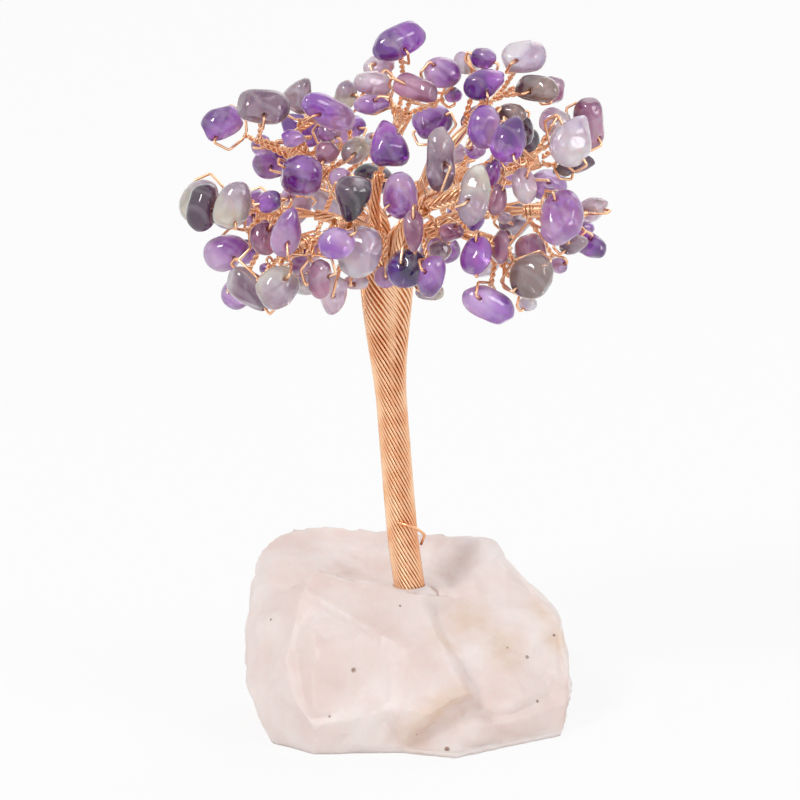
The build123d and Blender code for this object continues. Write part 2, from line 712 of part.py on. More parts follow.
print("tightest twigs", worst)


def chip_solid(chip):
    wires = []
    for height_share, outline_share in swell_shares:
        points = []
        for k, share in enumerate(form_shares[chip.form]):
            angle = 2 * math.pi * k / len(form_shares[chip.form])
            flat = (
                chip.along * chip.half[0] * share * math.cos(angle)
                + chip.wide * chip.half[1] * share * math.sin(angle)
            )
            points.append(tuple(
                chip.middle + flat * outline_share + chip.facing * chip.half[2] * height_share))
        wires.append(Wire([Edge.make_spline(points, periodic=True)]))
    body = Solid.make_loft(wires)
    cross_way = chip.twig["cross_way"]
    drill_length = float(max(chip.half)) * 4
    drill = Plane(origin=tuple(chip.middle), z_dir=tuple(cross_way)) * Cylinder(
        chip_hole_diameter / 2, drill_length)
    return (body - drill).solid()


def twig_solid(chip):
    twig = chip.twig
    aim, cross_way = twig["aim"], twig["cross_way"]
    frame = Plane(
        origin=tuple(chip.middle), x_dir=tuple(cross_way), z_dir=tuple(np.cross(cross_way, aim)))
    leg = twig["beside"] + loop_leg_gap
    neck = twig["below"] + loop_neck
    pair = wire_diameter / 2 + wire_gap / 5
    shoulder = twig["below"] * shoulder_share
    path = FilletPolyline(
        (pair, -neck), (leg, -shoulder), (leg, 0), (-leg, 0), (-leg, -shoulder), (-pair, -neck),
        radius=[loop_shoulder_radius, loop_corner_radius, loop_corner_radius, loop_shoulder_radius],
    )
    start = Plane(origin=path @ 0, z_dir=path % 0)
    ring = frame * sweep(start * Circle(wire_diameter / 2), path)
    corners = twig["corners"][:-1] + [twig["corners"][-1] + aim * wire_diameter]
    points = [tuple(float(v) for v in c) for c in corners]
    if len(points) == 2:
        stem_path = Line(*points)
    else:
        stem_path = FilletPolyline(*points, radius=twig_bend_radius)
    stem_start = Plane(origin=stem_path @ 0, z_dir=stem_path % 0)
    stem = sweep(stem_start * Circle(twig_diameter / 2), stem_path)
    return (ring + stem).solid()


for name in limbs:
    line = limb_lines[name]
    frames = [line_frame(line, i / limb_steps) for i in range(limb_steps + 1)]
    core = tube(
        [f[0] for f in frames],
        [f[1] for f in frames],
        [f[2] for f in frames],
        [limb_radius(i / limb_steps) for i in range(limb_steps + 1)],
        core_sides,
    )
    save(name + "_limb_core", [core])
    root_at, root_out = limb_roots[name]
    print("limb root", name, [round(v, 3) for v in root_at], [round(v, 4) for v in root_out])
    wires = laid_wires(
        line, line.length, limb_twist_pitch, lambda share: limb_wire_radius,
        limb_wire_count, strand_end_share,
    )
    save(name + "_limb_strands", wires)
    own = [c for c in chips if c.limb == name]
    save(name + "_twigs", [twig_solid(c) for c in own])
    save(name + "_chips", [chip_solid(c) for c in own])
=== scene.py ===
import math
import random

import bmesh
import bpy
import numpy as np
from mathutils import Matrix, Vector, geometry, noise
from mathutils.bvhtree import BVHTree


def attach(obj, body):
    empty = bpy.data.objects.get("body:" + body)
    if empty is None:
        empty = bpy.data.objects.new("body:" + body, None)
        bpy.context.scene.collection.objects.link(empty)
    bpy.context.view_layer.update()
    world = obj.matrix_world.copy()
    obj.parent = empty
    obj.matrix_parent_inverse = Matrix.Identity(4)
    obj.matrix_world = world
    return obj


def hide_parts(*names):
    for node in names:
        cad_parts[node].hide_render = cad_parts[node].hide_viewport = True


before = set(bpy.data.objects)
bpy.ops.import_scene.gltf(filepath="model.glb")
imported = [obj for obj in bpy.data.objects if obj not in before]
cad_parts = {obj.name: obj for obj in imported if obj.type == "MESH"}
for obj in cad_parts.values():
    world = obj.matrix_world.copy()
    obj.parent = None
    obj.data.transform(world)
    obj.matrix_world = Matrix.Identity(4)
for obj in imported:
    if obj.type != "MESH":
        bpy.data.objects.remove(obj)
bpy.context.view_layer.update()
MM = 0.001

# Camera: a long lens a little above the tree, looking down on it as the picture does.
# Columns and rows below are places in the 800 x 800 picture, and PIXEL is the length of one
# of its pixels on the tree.
PIXEL = 0.178 * MM
PITCH = math.radians(15.0)
AXIS_COLUMN = 408.0
FOOT_ROW = 590.0
FOOT_HEIGHT = 24.5 * MM
CAMERA_DISTANCE = 1.6
PICTURE_PIXELS = 800


def seen_at(column, row, depth):
    # The point that shows at a place in the picture, at a depth behind the trunk's foot.
    seen = (FOOT_ROW - row) * PIXEL + FOOT_HEIGHT * math.cos(PITCH)
    height = (seen - depth * math.sin(PITCH)) / math.cos(PITCH)
    return Vector(((column - AXIS_COLUMN) * PIXEL, depth, height))


camera_data = bpy.data.cameras.new("picture_camera")
camera_data.angle = 2 * math.atan(PICTURE_PIXELS * PIXEL / 2 / CAMERA_DISTANCE)
camera = bpy.data.objects.new("picture_camera", camera_data)
bpy.context.scene.collection.objects.link(camera)
look_at = seen_at(PICTURE_PIXELS / 2, PICTURE_PIXELS / 2, 0.0)
look_along = Vector((0.0, math.cos(PITCH), -math.sin(PITCH)))
camera.location = look_at - look_along * CAMERA_DISTANCE
camera.rotation_euler = (math.pi / 2 - PITCH, 0.0, 0.0)
bpy.context.scene.camera = camera
bpy.context.scene.view_settings.view_transform = "Standard"


# Stone: a lump of pale rose quartz, broken by hand all round and ground flat underneath.
# Its top is drilled for the trunk. Iron has filled a few pits brown. Ochre is painted along the
# undercut below the ridge, in the hollow beside it and on the broken right side: partly iron stain,
# partly painted shade.
STONE_VOXEL = 0.8 * MM
BLANK_PASSES = 2
BLANK_SMOOTH = 0.35
SHAPED_SMOOTH = 0.4
# The flat top stands higher at the back, and the right shoulder is broken away lower.
# Spans are millimetres from the trunk's foot, where each change begins and where it is full.
TOP_BACK = (-1.0, 8.0)
TOP_LEVELS = (17.0, 25.0)
LEFT_RISE_MM = 2.4
LEFT_SPAN = (-6.0, -15.0)
RIGHT_RISE_MM = 1.4
RIGHT_SPAN = (8.0, 13.0)
RIGHT_END = (20.0, 16.0)
SHOULDER_FALL_MM = 1.9
SHOULDER_SPAN = (17.0, 22.0)
SHOULDER_LEVELS = (11.0, 19.0)
# Flat breaks, each through three places in the picture
STONE_BREAKS = (
    ((285, 625), (440, 690), (330, 722)), ((258, 600), (262, 690), (300, 640)),
    ((540, 608), (570, 665), (535, 715)), ((500, 590), (555, 618), (500, 660)),
)
MOST_BREAK = 1.6 * MM
BREAK_FACING = -0.2
# The crest where the flat top ends, and how the front face falls back below it, in pixels
STONE_CREST = ((262, 572), (292, 578), (322, 577), (352, 569), (376, 566))
CREST_DEPTH_MM = 0.9
CREST_ENDS = (0.0, 18.0)
CREST_ONSET = (0.0, 9.0)
CREST_REACH = 30.0
# The ridge below the trunk and the undercut under it: a place, and the depth in millimetres
# of the hollow beside it
STONE_RIDGE = (
    (392, 566, 0.0), (406, 580, 1.4), (420, 598, 3.4), (436, 630, 4.4), (452, 662, 5.0),
    (470, 692, 5.4), (447, 704, 4.0), (425, 716, 3.0), (412, 728, 2.2), (400, 750, 0.6),
)
RIDGE_ROWS = (552.0, 588.0)
RIDGE_SHOULDER = (0.0, 9.0)
RIDGE_WIDTH = 16.0
RIDGE_LIFT_MM = 0.7
RIDGE_FULL_MM = (0.0, 3.0)
HOLLOW_REACH = 75.0
SAME_GAP = 0.001
# Where the relief comes in: away from the hole, off the floor and on what faces the camera
HOLE_SPAN = (4.9 * MM, 9.5 * MM)
EYE_SPAN = (-0.1, 0.2)
RELIEF_LEAST_HEIGHT = 1.0 * MM
# Roughness of the break in scoops, as their width and depth, and the pits and the ochre spots
# of iron stain and painted shade, as a place and a radius in millimetres
STONE_ROUGH_MM = ((12.0, 0.75), (5.0, 0.30), (1.7, 0.09))
SCOOP_LEVEL = 0.6
ROUGH_LEVELS = (0.0, 2.0 * MM)
SEAT_HEIGHT = 0.35 * MM
PIT_DEPTH_MM = 0.3
STONE_PITS = (
    (354, 669, 0.38), (447, 748, 0.4), (271, 620, 0.2), (400, 606, 0.2), (400, 619, 0.2),
    (528, 658, 0.28), (508, 648, 0.22), (555, 637, 0.25), (538, 702, 0.25), (416, 733, 0.22),
    (454, 727, 0.2), (330, 715, 0.2),
)
# Ochre spots along the undercut and in the hollow beside the ridge: partly iron stain, partly painted
# shade
STONE_STAIN_AND_SHADE_SPOTS = (
    (470, 692, 5.0), (448, 706, 5.0), (428, 716, 4.5), (410, 732, 4.5), (560, 640, 5.0),
    (545, 610, 4.5), (505, 650, 5.5), (470, 620, 6.0), (445, 640, 5.0),
)
PIT_EDGES = (1.5, 0.8)
STAIN_AND_SHADE_EDGES = (1.0, 0.1)
SPOT_MOST = 0.8
STONE_PALE = "#f4e8e3"
STONE_PINK = "#ecd8d1"
STONE_OCHRE = "#dcb992"
STONE_PIT = "#7d4a22"
STONE_CLOUD = 11.0 * MM
STONE_CRYSTAL = 2.6 * MM
STONE_GRAIN = 0.7 * MM
STONE_GRAIN_HEIGHT = 0.12 * MM
STONE_LIGHT_DEPTH = 3.0 * MM
STONE_LIGHT_COLOURS = (1.0, 0.72, 0.62)
QUARTZ_IOR = 1.544
MERGE_WITHIN = 0.002 * MM
SLIVER_WIDTH = 0.0005 * MM
CLEAR_OF_STONE = 60.0 * MM


def ramp(value, span):
    # How far a value has come through a span, from 0 to 1.
    start, end = span
    return min(max((value - start) / (end - start), 0.0), 1.0)


def eased(part):
    # The same share with a soft start and a soft end.
    return part * part * (3 - 2 * part)


def linear(code):
    # An sRGB hex colour as the linear values that a shader takes.
    parts = [int(code[i:i + 2], 16) / 255 for i in (1, 3, 5)]
    return tuple(p / 12.92 if p <= 0.04045 else ((p + 0.055) / 1.055) ** 2.4 for p in parts) + (1.0,)


def add_node(tree, kind, inputs=None, stops=None, **settings):
    # Adds a node, gives it its settings and values, and links the sockets it is given.
    node = tree.nodes.new(kind)
    for name, value in settings.items():
        setattr(node, name, value)
    for name, value in (inputs or {}).items():
        if isinstance(value, bpy.types.NodeSocket):
            tree.links.new(value, node.inputs[name])
        else:
            node.inputs[name].default_value = value
    for number, (place, colour) in enumerate(stops or ()):
        elements = node.color_ramp.elements
        element = elements[number] if number < 2 else elements.new(place)
        element.position = place
        element.color = colour
    return node


def mixed(tree, share, first, second):
    # The second colour mixed into the first by a share.
    return add_node(tree, "ShaderNodeMix", {0: share, 6: first, 7: second}, data_type="RGBA").outputs[2]


def new_material(name):
    material = bpy.data.materials.new(name)
    material.use_nodes = True
    tree = material.node_tree
    tree.nodes.clear()
    output = add_node(tree, "ShaderNodeOutputMaterial")
    return material, tree, output


def merged_copy(node_name):
    # A copy of a CAD node's mesh, its loose triangles joined into closed skins.
    bm = bmesh.new()
    bm.from_mesh(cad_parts[node_name].data)
    bmesh.ops.remove_doubles(bm, verts=bm.verts, dist=MERGE_WITHIN)
    bmesh.ops.dissolve_degenerate(bm, edges=bm.edges, dist=SLIVER_WIDTH)
    return bm


def even_skin(bm, voxel):
    # The same form as one closed skin of small, even faces.
    mesh = bpy.data.meshes.new("blank")
    bm.to_mesh(mesh)
    bm.free()
    blank = bpy.data.objects.new("blank", mesh)
    bpy.context.scene.collection.objects.link(blank)
    remesh = blank.modifiers.new("fine", "REMESH")
    remesh.mode = "VOXEL"
    remesh.voxel_size = voxel
    evaluated = blank.evaluated_get(bpy.context.evaluated_depsgraph_get())
    even = bpy.data.meshes.new_from_object(evaluated)
    bpy.data.objects.remove(blank)
    skin = bmesh.new()
    skin.from_mesh(even)
    return skin


def smoothed(bm, factor):
    bmesh.ops.smooth_vert(
        bm, verts=bm.verts, factor=factor, use_axis_x=True, use_axis_y=True, use_axis_z=True)


def finished(bm, name, material, smooth=True):
    # The bmesh as a piece of the model, in its material and on the one body.
    mesh = bpy.data.meshes.new(name)
    bm.normal_update()
    bm.to_mesh(mesh)
    bm.free()
    for face in mesh.polygons:
        face.use_smooth = smooth
    mesh.materials.append(material)
    piece = bpy.data.objects.new(name, mesh)
    bpy.context.scene.collection.objects.link(piece)
    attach(piece, "root")
    return piece


def on_stone(column, row, skin):
    # Where the line of sight of a place in the picture first meets the stone.
    start = seen_at(column, row, -CLEAR_OF_STONE)
    hit = skin.ray_cast(start, look_along)[0]
    return hit if hit is not None else start


def picture_place(point):
    # The column and row at which a point shows.
    seen = point.z * math.cos(PITCH) + point.y * math.sin(PITCH)
    return AXIS_COLUMN + point.x / PIXEL, FOOT_ROW - (seen - FOOT_HEIGHT * math.cos(PITCH)) / PIXEL


def crest_relief(column, row):
    # The front face dips just under the crest, so that the crest stands up crisp.
    columns, rows = zip(*STONE_CREST)
    below = row - float(np.interp(column, columns, rows))
    inside = ramp(min(column - columns[0], columns[-1] - column), CREST_ENDS)
    return CREST_DEPTH_MM * inside * ramp(below, CREST_ONSET) * math.exp(-below / CREST_REACH)


def ridge_relief(column, row):
    # How far the stone steps back beside the ridge, or stands up along it, in millimetres.
    best = None
    for (c1, r1, d1), (c2, r2, d2) in zip(STONE_RIDGE, STONE_RIDGE[1:]):
        run, fall = c2 - c1, r2 - r1
        part = ((column - c1) * run + (row - r1) * fall) / (run * run + fall * fall)
        part = min(max(part, 0.0), 1.0)
        away_c, away_r = column - c1 - run * part, row - r1 - fall * part
        gap = math.hypot(away_c, away_r)
        turn = run * away_r - fall * away_c
        if best is not None and abs(gap - best[0]) < SAME_GAP:
            best = gap, min(turn, best[1]), best[2]
        elif best is None or gap < best[0]:
            best = gap, turn, d1 + (d2 - d1) * part
    gap, turn, depth = best
    if turn >= 0:
        return -RIDGE_LIFT_MM * math.exp(-gap / RIDGE_WIDTH) * ramp(depth, RIDGE_FULL_MM)
    beyond = max(gap - RIDGE_SHOULDER[1], 0.0)
    return depth * eased(ramp(gap, RIDGE_SHOULDER)) * math.exp(-beyond / HOLLOW_REACH)


def spot_strength(tree, coords, centre, size, edges):
    # How strongly a round spot shows: not at all outside its outer edge, fully in its inner one.
    gap = add_node(tree, "ShaderNodeVectorMath", {0: coords, 1: tuple(centre)}, operation="DISTANCE")
    near = add_node(tree, "ShaderNodeMapRange", {
        "Value": gap.outputs["Value"], "From Min": size * edges[0], "From Max": size * edges[1],
        "To Min": 0.0, "To Max": SPOT_MOST})
    return near.outputs["Result"]


stone_bm = merged_copy("base_stone")
stone_skin = BVHTree.FromBMesh(stone_bm)
break_planes = []
for corners in STONE_BREAKS:
    one, two, three = [on_stone(column, row, stone_skin) for column, row in corners]
    facing = (two - one).cross(three - one).normalized()
    if facing.dot(look_along) > 0:
        facing = -facing
    break_planes.append((one, facing))
stone_bm = even_skin(stone_bm, STONE_VOXEL)
for _ in range(BLANK_PASSES):
    smoothed(stone_bm, BLANK_SMOOTH)
bmesh.ops.subdivide_edges(stone_bm, edges=stone_bm.edges, cuts=1, use_grid_fill=True, smooth=0.0)
for vert in stone_bm.verts:
    x, y, z = vert.co / MM
    top = ramp(y, TOP_BACK) * ramp(z, TOP_LEVELS)
    rise = LEFT_RISE_MM * ramp(x, LEFT_SPAN) * top
    rise += RIGHT_RISE_MM * ramp(x, RIGHT_SPAN) * ramp(x, RIGHT_END) * top
    rise -= SHOULDER_FALL_MM * ramp(x, SHOULDER_SPAN) * ramp(z, SHOULDER_LEVELS)
    vert.co.z += rise * MM
stone_bm.normal_update()
for vert in stone_bm.verts:
    facing_eye = -vert.normal.dot(look_along)
    by_trunk = ramp(math.hypot(vert.co.x, vert.co.y), HOLE_SPAN)
    for spot, facing in break_planes:
        beyond = (vert.co - spot).dot(facing)
        if beyond > 0 and facing_eye > BREAK_FACING:
            vert.co -= facing * min(beyond, MOST_BREAK) * by_trunk
    if facing_eye > EYE_SPAN[0] and vert.co.z > RELIEF_LEAST_HEIGHT:
        column, row = picture_place(vert.co)
        relief = ridge_relief(column, row) * ramp(row, RIDGE_ROWS) + crest_relief(column, row)
        vert.co += look_along * relief * ramp(facing_eye, EYE_SPAN) * by_trunk * MM
smoothed(stone_bm, SHAPED_SMOOTH)
stone_bm.normal_update()
stone_skin = BVHTree.FromBMesh(stone_bm)
pit_places = [(on_stone(column, row, stone_skin), size * MM) for column, row, size in STONE_PITS]
stain_and_shade_places = [(on_stone(column, row, stone_skin), size * MM) for column, row, size in STONE_STAIN_AND_SHADE_SPOTS]
for vert in stone_bm.verts:
    place = vert.co.copy()
    lift = ramp(place.z, ROUGH_LEVELS) * ramp(math.hypot(place.x, place.y), HOLE_SPAN)
    # Chipped quartz breaks in shallow scoops with crisp edges between them
    rough = sum((abs(noise.noise(place / (width * MM))) * 2 - SCOOP_LEVEL) * depth
                for width, depth in STONE_ROUGH_MM)
    for centre, size in pit_places:
        away = (place - centre).length / size
        if away < 1.0:
            rough -= (1 - away * away) * PIT_DEPTH_MM
    vert.co = place + vert.normal * rough * MM * lift
    if place.z < SEAT_HEIGHT:
        vert.co.z = 0.0
# Broken quartz is satin and cloudy: light goes a little way in and comes back pink, and the
# fine grain of the break keeps its highlights soft
stone_material, tree, output = new_material("broken_rose_quartz")
coords = add_node(tree, "ShaderNodeTexCoord").outputs["Object"]
clouds = add_node(tree, "ShaderNodeTexNoise", {"Vector": coords, "Scale": 1 / STONE_CLOUD, "Detail": 5.0})
body = add_node(tree, "ShaderNodeValToRGB", {"Fac": clouds.outputs["Fac"]},
                stops=((0.36, linear(STONE_PALE)), (0.66, linear(STONE_PINK))))
crystals = add_node(tree, "ShaderNodeTexNoise", {
    "Vector": coords, "Scale": 1 / STONE_CRYSTAL, "Detail": 6.0})
colour = body.outputs["Color"]
# Ochre painted over the spots: partly iron stain, partly painted shade in the undercut and the hollow
# beside the ridge
for centre, size in stain_and_shade_places:
    near = spot_strength(tree, coords, centre, size, STAIN_AND_SHADE_EDGES)
    ragged = add_node(tree, "ShaderNodeMath", {0: near, 1: crystals.outputs["Fac"]}, operation="MULTIPLY")
    colour = mixed(tree, ragged.outputs["Value"], colour, linear(STONE_OCHRE))
for centre, size in pit_places:
    near = spot_strength(tree, coords, centre, size, PIT_EDGES)
    colour = mixed(tree, near, colour, linear(STONE_PIT))
gloss = add_node(tree, "ShaderNodeMapRange", {
    "Value": crystals.outputs["Fac"], "To Min": 0.28, "To Max": 0.62})
grain = add_node(tree, "ShaderNodeTexNoise", {"Vector": coords, "Scale": 1 / STONE_GRAIN, "Detail": 4.0})
bump = add_node(tree, "ShaderNodeBump", {
    "Height": grain.outputs["Fac"], "Strength": 0.35, "Distance": STONE_GRAIN_HEIGHT})
shader = add_node(tree, "ShaderNodeBsdfPrincipled", {
    "Base Color": colour, "Roughness": gloss.outputs["Result"], "Normal": bump.outputs["Normal"],
    "IOR": QUARTZ_IOR, "Subsurface Weight": 0.35, "Subsurface Scale": STONE_LIGHT_DEPTH,
    "Subsurface Radius": STONE_LIGHT_COLOURS})
tree.links.new(shader.outputs["BSDF"], output.inputs["Surface"])
stone = finished(stone_bm, "rough_quartz_stone", stone_material)
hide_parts("base_stone")


# Glue: milky hardened glue that fills the drilled hole and holds the trunk in the stone.
# Its top falls away from the trunk and meets the stone below the rim of the hole.
GLUE_COLOUR = "#f4e4de"
GLUE_RIM = 4.4 * MM
GLUE_TOP = 2.0 * MM
GLUE_DROP = 1.8 * MM
GLUE_RIPPLE = 1.8 * MM
GLUE_RIPPLE_HEIGHT = 0.2 * MM
glue_bm = merged_copy("glue_bed")
glue_top = max(vert.co.z for vert in glue_bm.verts)
for vert in glue_bm.verts:
    if vert.co.z > glue_top - GLUE_TOP and math.hypot(vert.co.x, vert.co.y) > GLUE_RIM:
        vert.co.z -= GLUE_DROP
# Hardened glue is half gloss and slightly rippled, and takes the colour of the stone round it
glue_material, tree, output = new_material("hardened_milky_glue")
coords = add_node(tree, "ShaderNodeTexCoord").outputs["Object"]
ripple = add_node(tree, "ShaderNodeTexNoise", {"Vector": coords, "Scale": 1 / GLUE_RIPPLE})
bump = add_node(tree, "ShaderNodeBump", {
    "Height": ripple.outputs["Fac"], "Strength": 0.3, "Distance": GLUE_RIPPLE_HEIGHT})
shader = add_node(tree, "ShaderNodeBsdfPrincipled", {
    "Base Color": linear(GLUE_COLOUR), "Roughness": 0.4, "IOR": 1.5, "Subsurface Weight": 0.35,
    "Subsurface Scale": STONE_LIGHT_DEPTH, "Subsurface Radius": STONE_LIGHT_COLOURS,
    "Normal": bump.outputs["Normal"]})
tree.links.new(shader.outputs["BSDF"], output.inputs["Surface"])
glue = finished(glue_bm, "glue_bead", glue_material, smooth=False)
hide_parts("glue_bed")


# Copper wire: bright drawn wire, half a millimetre thick, twisted into the trunk and limbs.
# One loose end has sprung out of the trunk near its foot.
COPPER_BRIGHT = "#ffd4ae"
COPPER_DULL = "#f2b488"
COPPER_PATCH = 5.0 * MM
DRAWN_LINE = 0.3 * MM
DRAWN_LINE_HEIGHT = 0.02 * MM
# Drawing leaves copper smooth and glossy, and handling leaves it a shade darker in patches
copper, tree, output = new_material("bright_drawn_copper")
coords = add_node(tree, "ShaderNodeTexCoord").outputs["Object"]
patches = add_node(tree, "ShaderNodeTexNoise", {
    "Vector": coords, "Scale": 1 / COPPER_PATCH, "Detail": 4.0})
tint = add_node(tree, "ShaderNodeValToRGB", {"Fac": patches.outputs["Fac"]},
                stops=((0.35, linear(COPPER_DULL)), (0.58, linear(COPPER_BRIGHT))))
sheen = add_node(tree, "ShaderNodeMapRange", {
    "Value": patches.outputs["Fac"], "To Min": 0.34, "To Max": 0.16})
drawn = add_node(tree, "ShaderNodeTexNoise", {"Vector": coords, "Scale": 1 / DRAWN_LINE})
bump = add_node(tree, "ShaderNodeBump", {
    "Height": drawn.outputs["Fac"], "Strength": 0.12, "Distance": DRAWN_LINE_HEIGHT})
shader = add_node(tree, "ShaderNodeBsdfPrincipled", {
    "Base Color": tint.outputs["Color"], "Metallic": 1.0, "Roughness": sheen.outputs["Result"],
    "Normal": bump.outputs["Normal"]})
tree.links.new(shader.outputs["BSDF"], output.inputs["Surface"])
limb_names = sorted(n[:-len("_limb_core")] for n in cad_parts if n.endswith("_limb_core"))
wire_nodes = ["trunk_strands", "trunk_core", "loose_strand"]
wire_nodes += [name + "_limb_strands" for name in limb_names]
wire_nodes += [name + "_limb_core" for name in limb_names]
for node_name in wire_nodes:
    piece = finished(merged_copy(node_name), node_name + "_copper", copper)
    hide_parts(node_name)


# Twigs: one copper wire doubled through a chip and twisted on itself back to the limb.
# Each keeps the loop of its solid, its plain stem becomes the two wires wound together, and
# its end is wrapped round the wires of the limb.
WIRE_RADIUS = 0.25 * MM
RING_SIDES = 8
STEM_RADIUS = 0.525 * MM
PAIR_PITCH = 2.3 * MM
LAY_RADIUS = 0.275 * MM
STEPS_PER_TURN = 10
STEPS_LEAST = 4
# How the two ends of a stem are found in its solid
SAME_FACING = 0.99999
SIDE_FACING = 0.02
END_AREA_LEAST = 0.25 * STEM_RADIUS ** 2
END_WIDTH_MOST = 2.1 * STEM_RADIUS
END_RADIUS_SLACK = 0.03 * STEM_RADIUS
RIM_POINTS_LEAST = 4
END_PATCHES = 3
STRAIGHT_WITHIN = 0.05 * MM
MEET_WITHIN = 0.1 * MM
# How far a loop reaches ahead of its neck, and how much of the stem stays at the neck
LOOP_LEAST = 1.5 * MM
COLLAR = 0.4 * MM
CUT_WITHIN = 0.0001 * MM
# The turns at the root, and the stretch of limb that they go round
WRAP_TURNS = 2.5
WRAP_STEPS_PER_TURN = 14
WRAP_LIFT = 0.22 * MM
WRAP_PITCH = 0.56 * MM
LIMB_STRETCH = 3.2 * MM
LIMB_POINTS_LEAST = 12
LIMB_PERCENTILE = 92
LAID_STRETCH = 2.2 * MM
ROOT_SINK = 0.3 * MM
REACH_LEAST = 0.25 * MM


def islands(bm):
    # The separate skins of a mesh, each as the list of its vertices.
    seen, found = set(), []
    bm.verts.ensure_lookup_table()
    for start in bm.verts:
        if start.index in seen:
            continue
        seen.add(start.index)
        group, todo = [], [start]
        while todo:
            vert = todo.pop()
            group.append(vert)
            for edge in vert.link_edges:
                other = edge.other_vert(vert)
                if other.index not in seen:
                    seen.add(other.index)
                    todo.append(other)
        found.append(group)
    return found


def flat_patches(group):
    # Every flat patch of a twig that is no wider than its stem, the largest first.
    left = {f for v in group for f in v.link_faces}
    patches = []
    while left:
        patch, todo = [], [left.pop()]
        while todo:
            face = todo.pop()
            patch.append(face)
            for edge in face.edges:
                for other in edge.link_faces:
                    if other in left and other.normal.dot(face.normal) > SAME_FACING:
                        left.discard(other)
                        todo.append(other)
        area = sum(f.calc_area() for f in patch)
        if area > END_AREA_LEAST:
            spots = [v.co for f in patch for v in f.verts]
            if max((p - spots[0]).length for p in spots) < END_WIDTH_MOST:
                patches.append((area, patch))
    return [patch for area, patch in sorted(patches, key=lambda p: -p[0])]


def disc_of(patch):
    # The middle of the round end that a flat patch is part of, and the way it faces.
    facing = sum((f.normal * f.calc_area() for f in patch), Vector()).normalized()
    inside = set(patch)
    rim = [v.co for f in patch for v in f.verts
           if any(abs(o.normal.dot(facing)) < SIDE_FACING for o in v.link_faces if o not in inside)]
    if len(rim) < RIM_POINTS_LEAST:
        return None
    one = facing.orthogonal().normalized()
    two = facing.cross(one)
    origin = rim[0]
    flat = np.array([((p - origin).dot(one), (p - origin).dot(two)) for p in rim])
    terms = np.column_stack([2 * flat, np.ones(len(flat))])
    solved = np.linalg.lstsq(terms, (flat ** 2).sum(axis=1), rcond=None)[0]
    radius = math.sqrt(max(solved[2] + solved[0] ** 2 + solved[1] ** 2, 0.0))
    if abs(radius - STEM_RADIUS) > END_RADIUS_SLACK:
        return None
    return origin + one * float(solved[0]) + two * float(solved[1]), facing


def stem_line(group):
    # A stem's corners from the loop's neck back to the limb, two or three of them.
    ends = [disc_of(patch) for patch in flat_patches(group)[:END_PATCHES]]
    ends = [e for e in ends if e is not None]
    if len(ends) < 2:
        return None
    (root, outward), (neck, aim) = ends[:2]
    if max((v.co - neck).dot(aim) for v in group) < LOOP_LEAST:
        (neck, aim), (root, outward) = ends[:2]
    if max((v.co - neck).dot(aim) for v in group) < LOOP_LEAST:
        return None
    if (neck - root).cross(aim).length < STRAIGHT_WITHIN:
        return [neck, root]
    met = geometry.intersect_line_line(root, root - outward, neck, neck - aim)
    if met is None or (met[0] - met[1]).length > MEET_WITHIN or (neck - met[0]).dot(aim) < 0:
        return None
    return [neck, met[0], root]


def sweep_wire(bm, begin, heading, middle, axis, travel, turns, steps):
    # A round wire from begin, screwed round the axis through middle and closed at both ends.
    turn = heading.to_track_quat("Z", "Y").to_matrix().to_4x4()
    ring = bmesh.ops.create_circle(
        bm, segments=RING_SIDES, radius=WIRE_RADIUS, cap_ends=False,
        matrix=Matrix.Translation(begin) @ turn)["verts"]
    edges = list({e for v in ring for e in v.link_edges})
    bmesh.ops.contextual_create(bm, geom=edges)
    spun = bmesh.ops.spin(
        bm, geom=edges, cent=middle, axis=axis, dvec=axis * (travel / steps),
        angle=2 * math.pi * turns, steps=steps, use_merge=False)
    last = [g for g in spun["geom_last"] if isinstance(g, bmesh.types.BMEdge)]
    bmesh.ops.contextual_create(bm, geom=last)


def wound_pair(start, end, side):
    # Two wires screwed round each other between two corners of a stem.
    pair = bmesh.new()
    back = (end - start).normalized()
    side = (side - back * side.dot(back)).normalized()
    length = (end - start).length
    turns = length / PAIR_PITCH
    steps = max(STEPS_LEAST, round(turns * STEPS_PER_TURN))
    for way in (1, -1):
        heading = back * PAIR_PITCH + back.cross(side * way) * 2 * math.pi * LAY_RADIUS
        begin = start + side * way * LAY_RADIUS
        sweep_wire(pair, begin, heading.normalized(), start, back, length, turns, steps)
    bmesh.ops.recalc_face_normals(pair, faces=pair.faces)
    return pair, side


def limb_slice(root, limb_bm, limb_tree, strand_bm):
    # The middle, the run and the outer radius of the limb beside a twig's root.
    near = limb_tree.find_nearest(root)[0]
    spots = np.array([v.co for v in limb_bm.verts if (v.co - near).length < LIMB_STRETCH])
    if len(spots) < LIMB_POINTS_LEAST:
        return None
    centre = spots.mean(axis=0)
    run = np.linalg.svd(spots - centre)[2][0]
    out = np.linalg.norm(np.cross(spots - centre, run), axis=1)
    middle = Vector(centre + run * float(np.dot(np.array(near) - centre, run)))
    run = Vector(run)
    radius = float(np.percentile(out, LIMB_PERCENTILE))
    aways = [v.co - middle for v in strand_bm.verts if (v.co - middle).length < LAID_STRETCH]
    laid = max(((away - run * away.dot(run)).length for away in aways), default=radius)
    return middle, run, max(radius, laid)


def root_wrap(root, middle, run, radius):
    # A few turns of wire laid side by side round the limb, starting under the twig.
    coil = bmesh.new()
    side = root - middle
    side = (side - run * side.dot(run)).normalized()
    travel = WRAP_PITCH * WRAP_TURNS
    begin = middle + side * (radius + WRAP_LIFT) - run * travel / 2
    steps = round(WRAP_TURNS * WRAP_STEPS_PER_TURN)
    sweep_wire(coil, begin, run.cross(side), middle, run, travel, WRAP_TURNS, steps)
    bmesh.ops.recalc_face_normals(coil, faces=coil.faces)
    return coil


def gather(bm, parts):
    # Adds each small bmesh to a larger one, which is quicker than building them there.
    for part in parts:
        part_mesh = bpy.data.meshes.new("part")
        part.to_mesh(part_mesh)
        part.free()
        bm.from_mesh(part_mesh)
        bpy.data.meshes.remove(part_mesh)


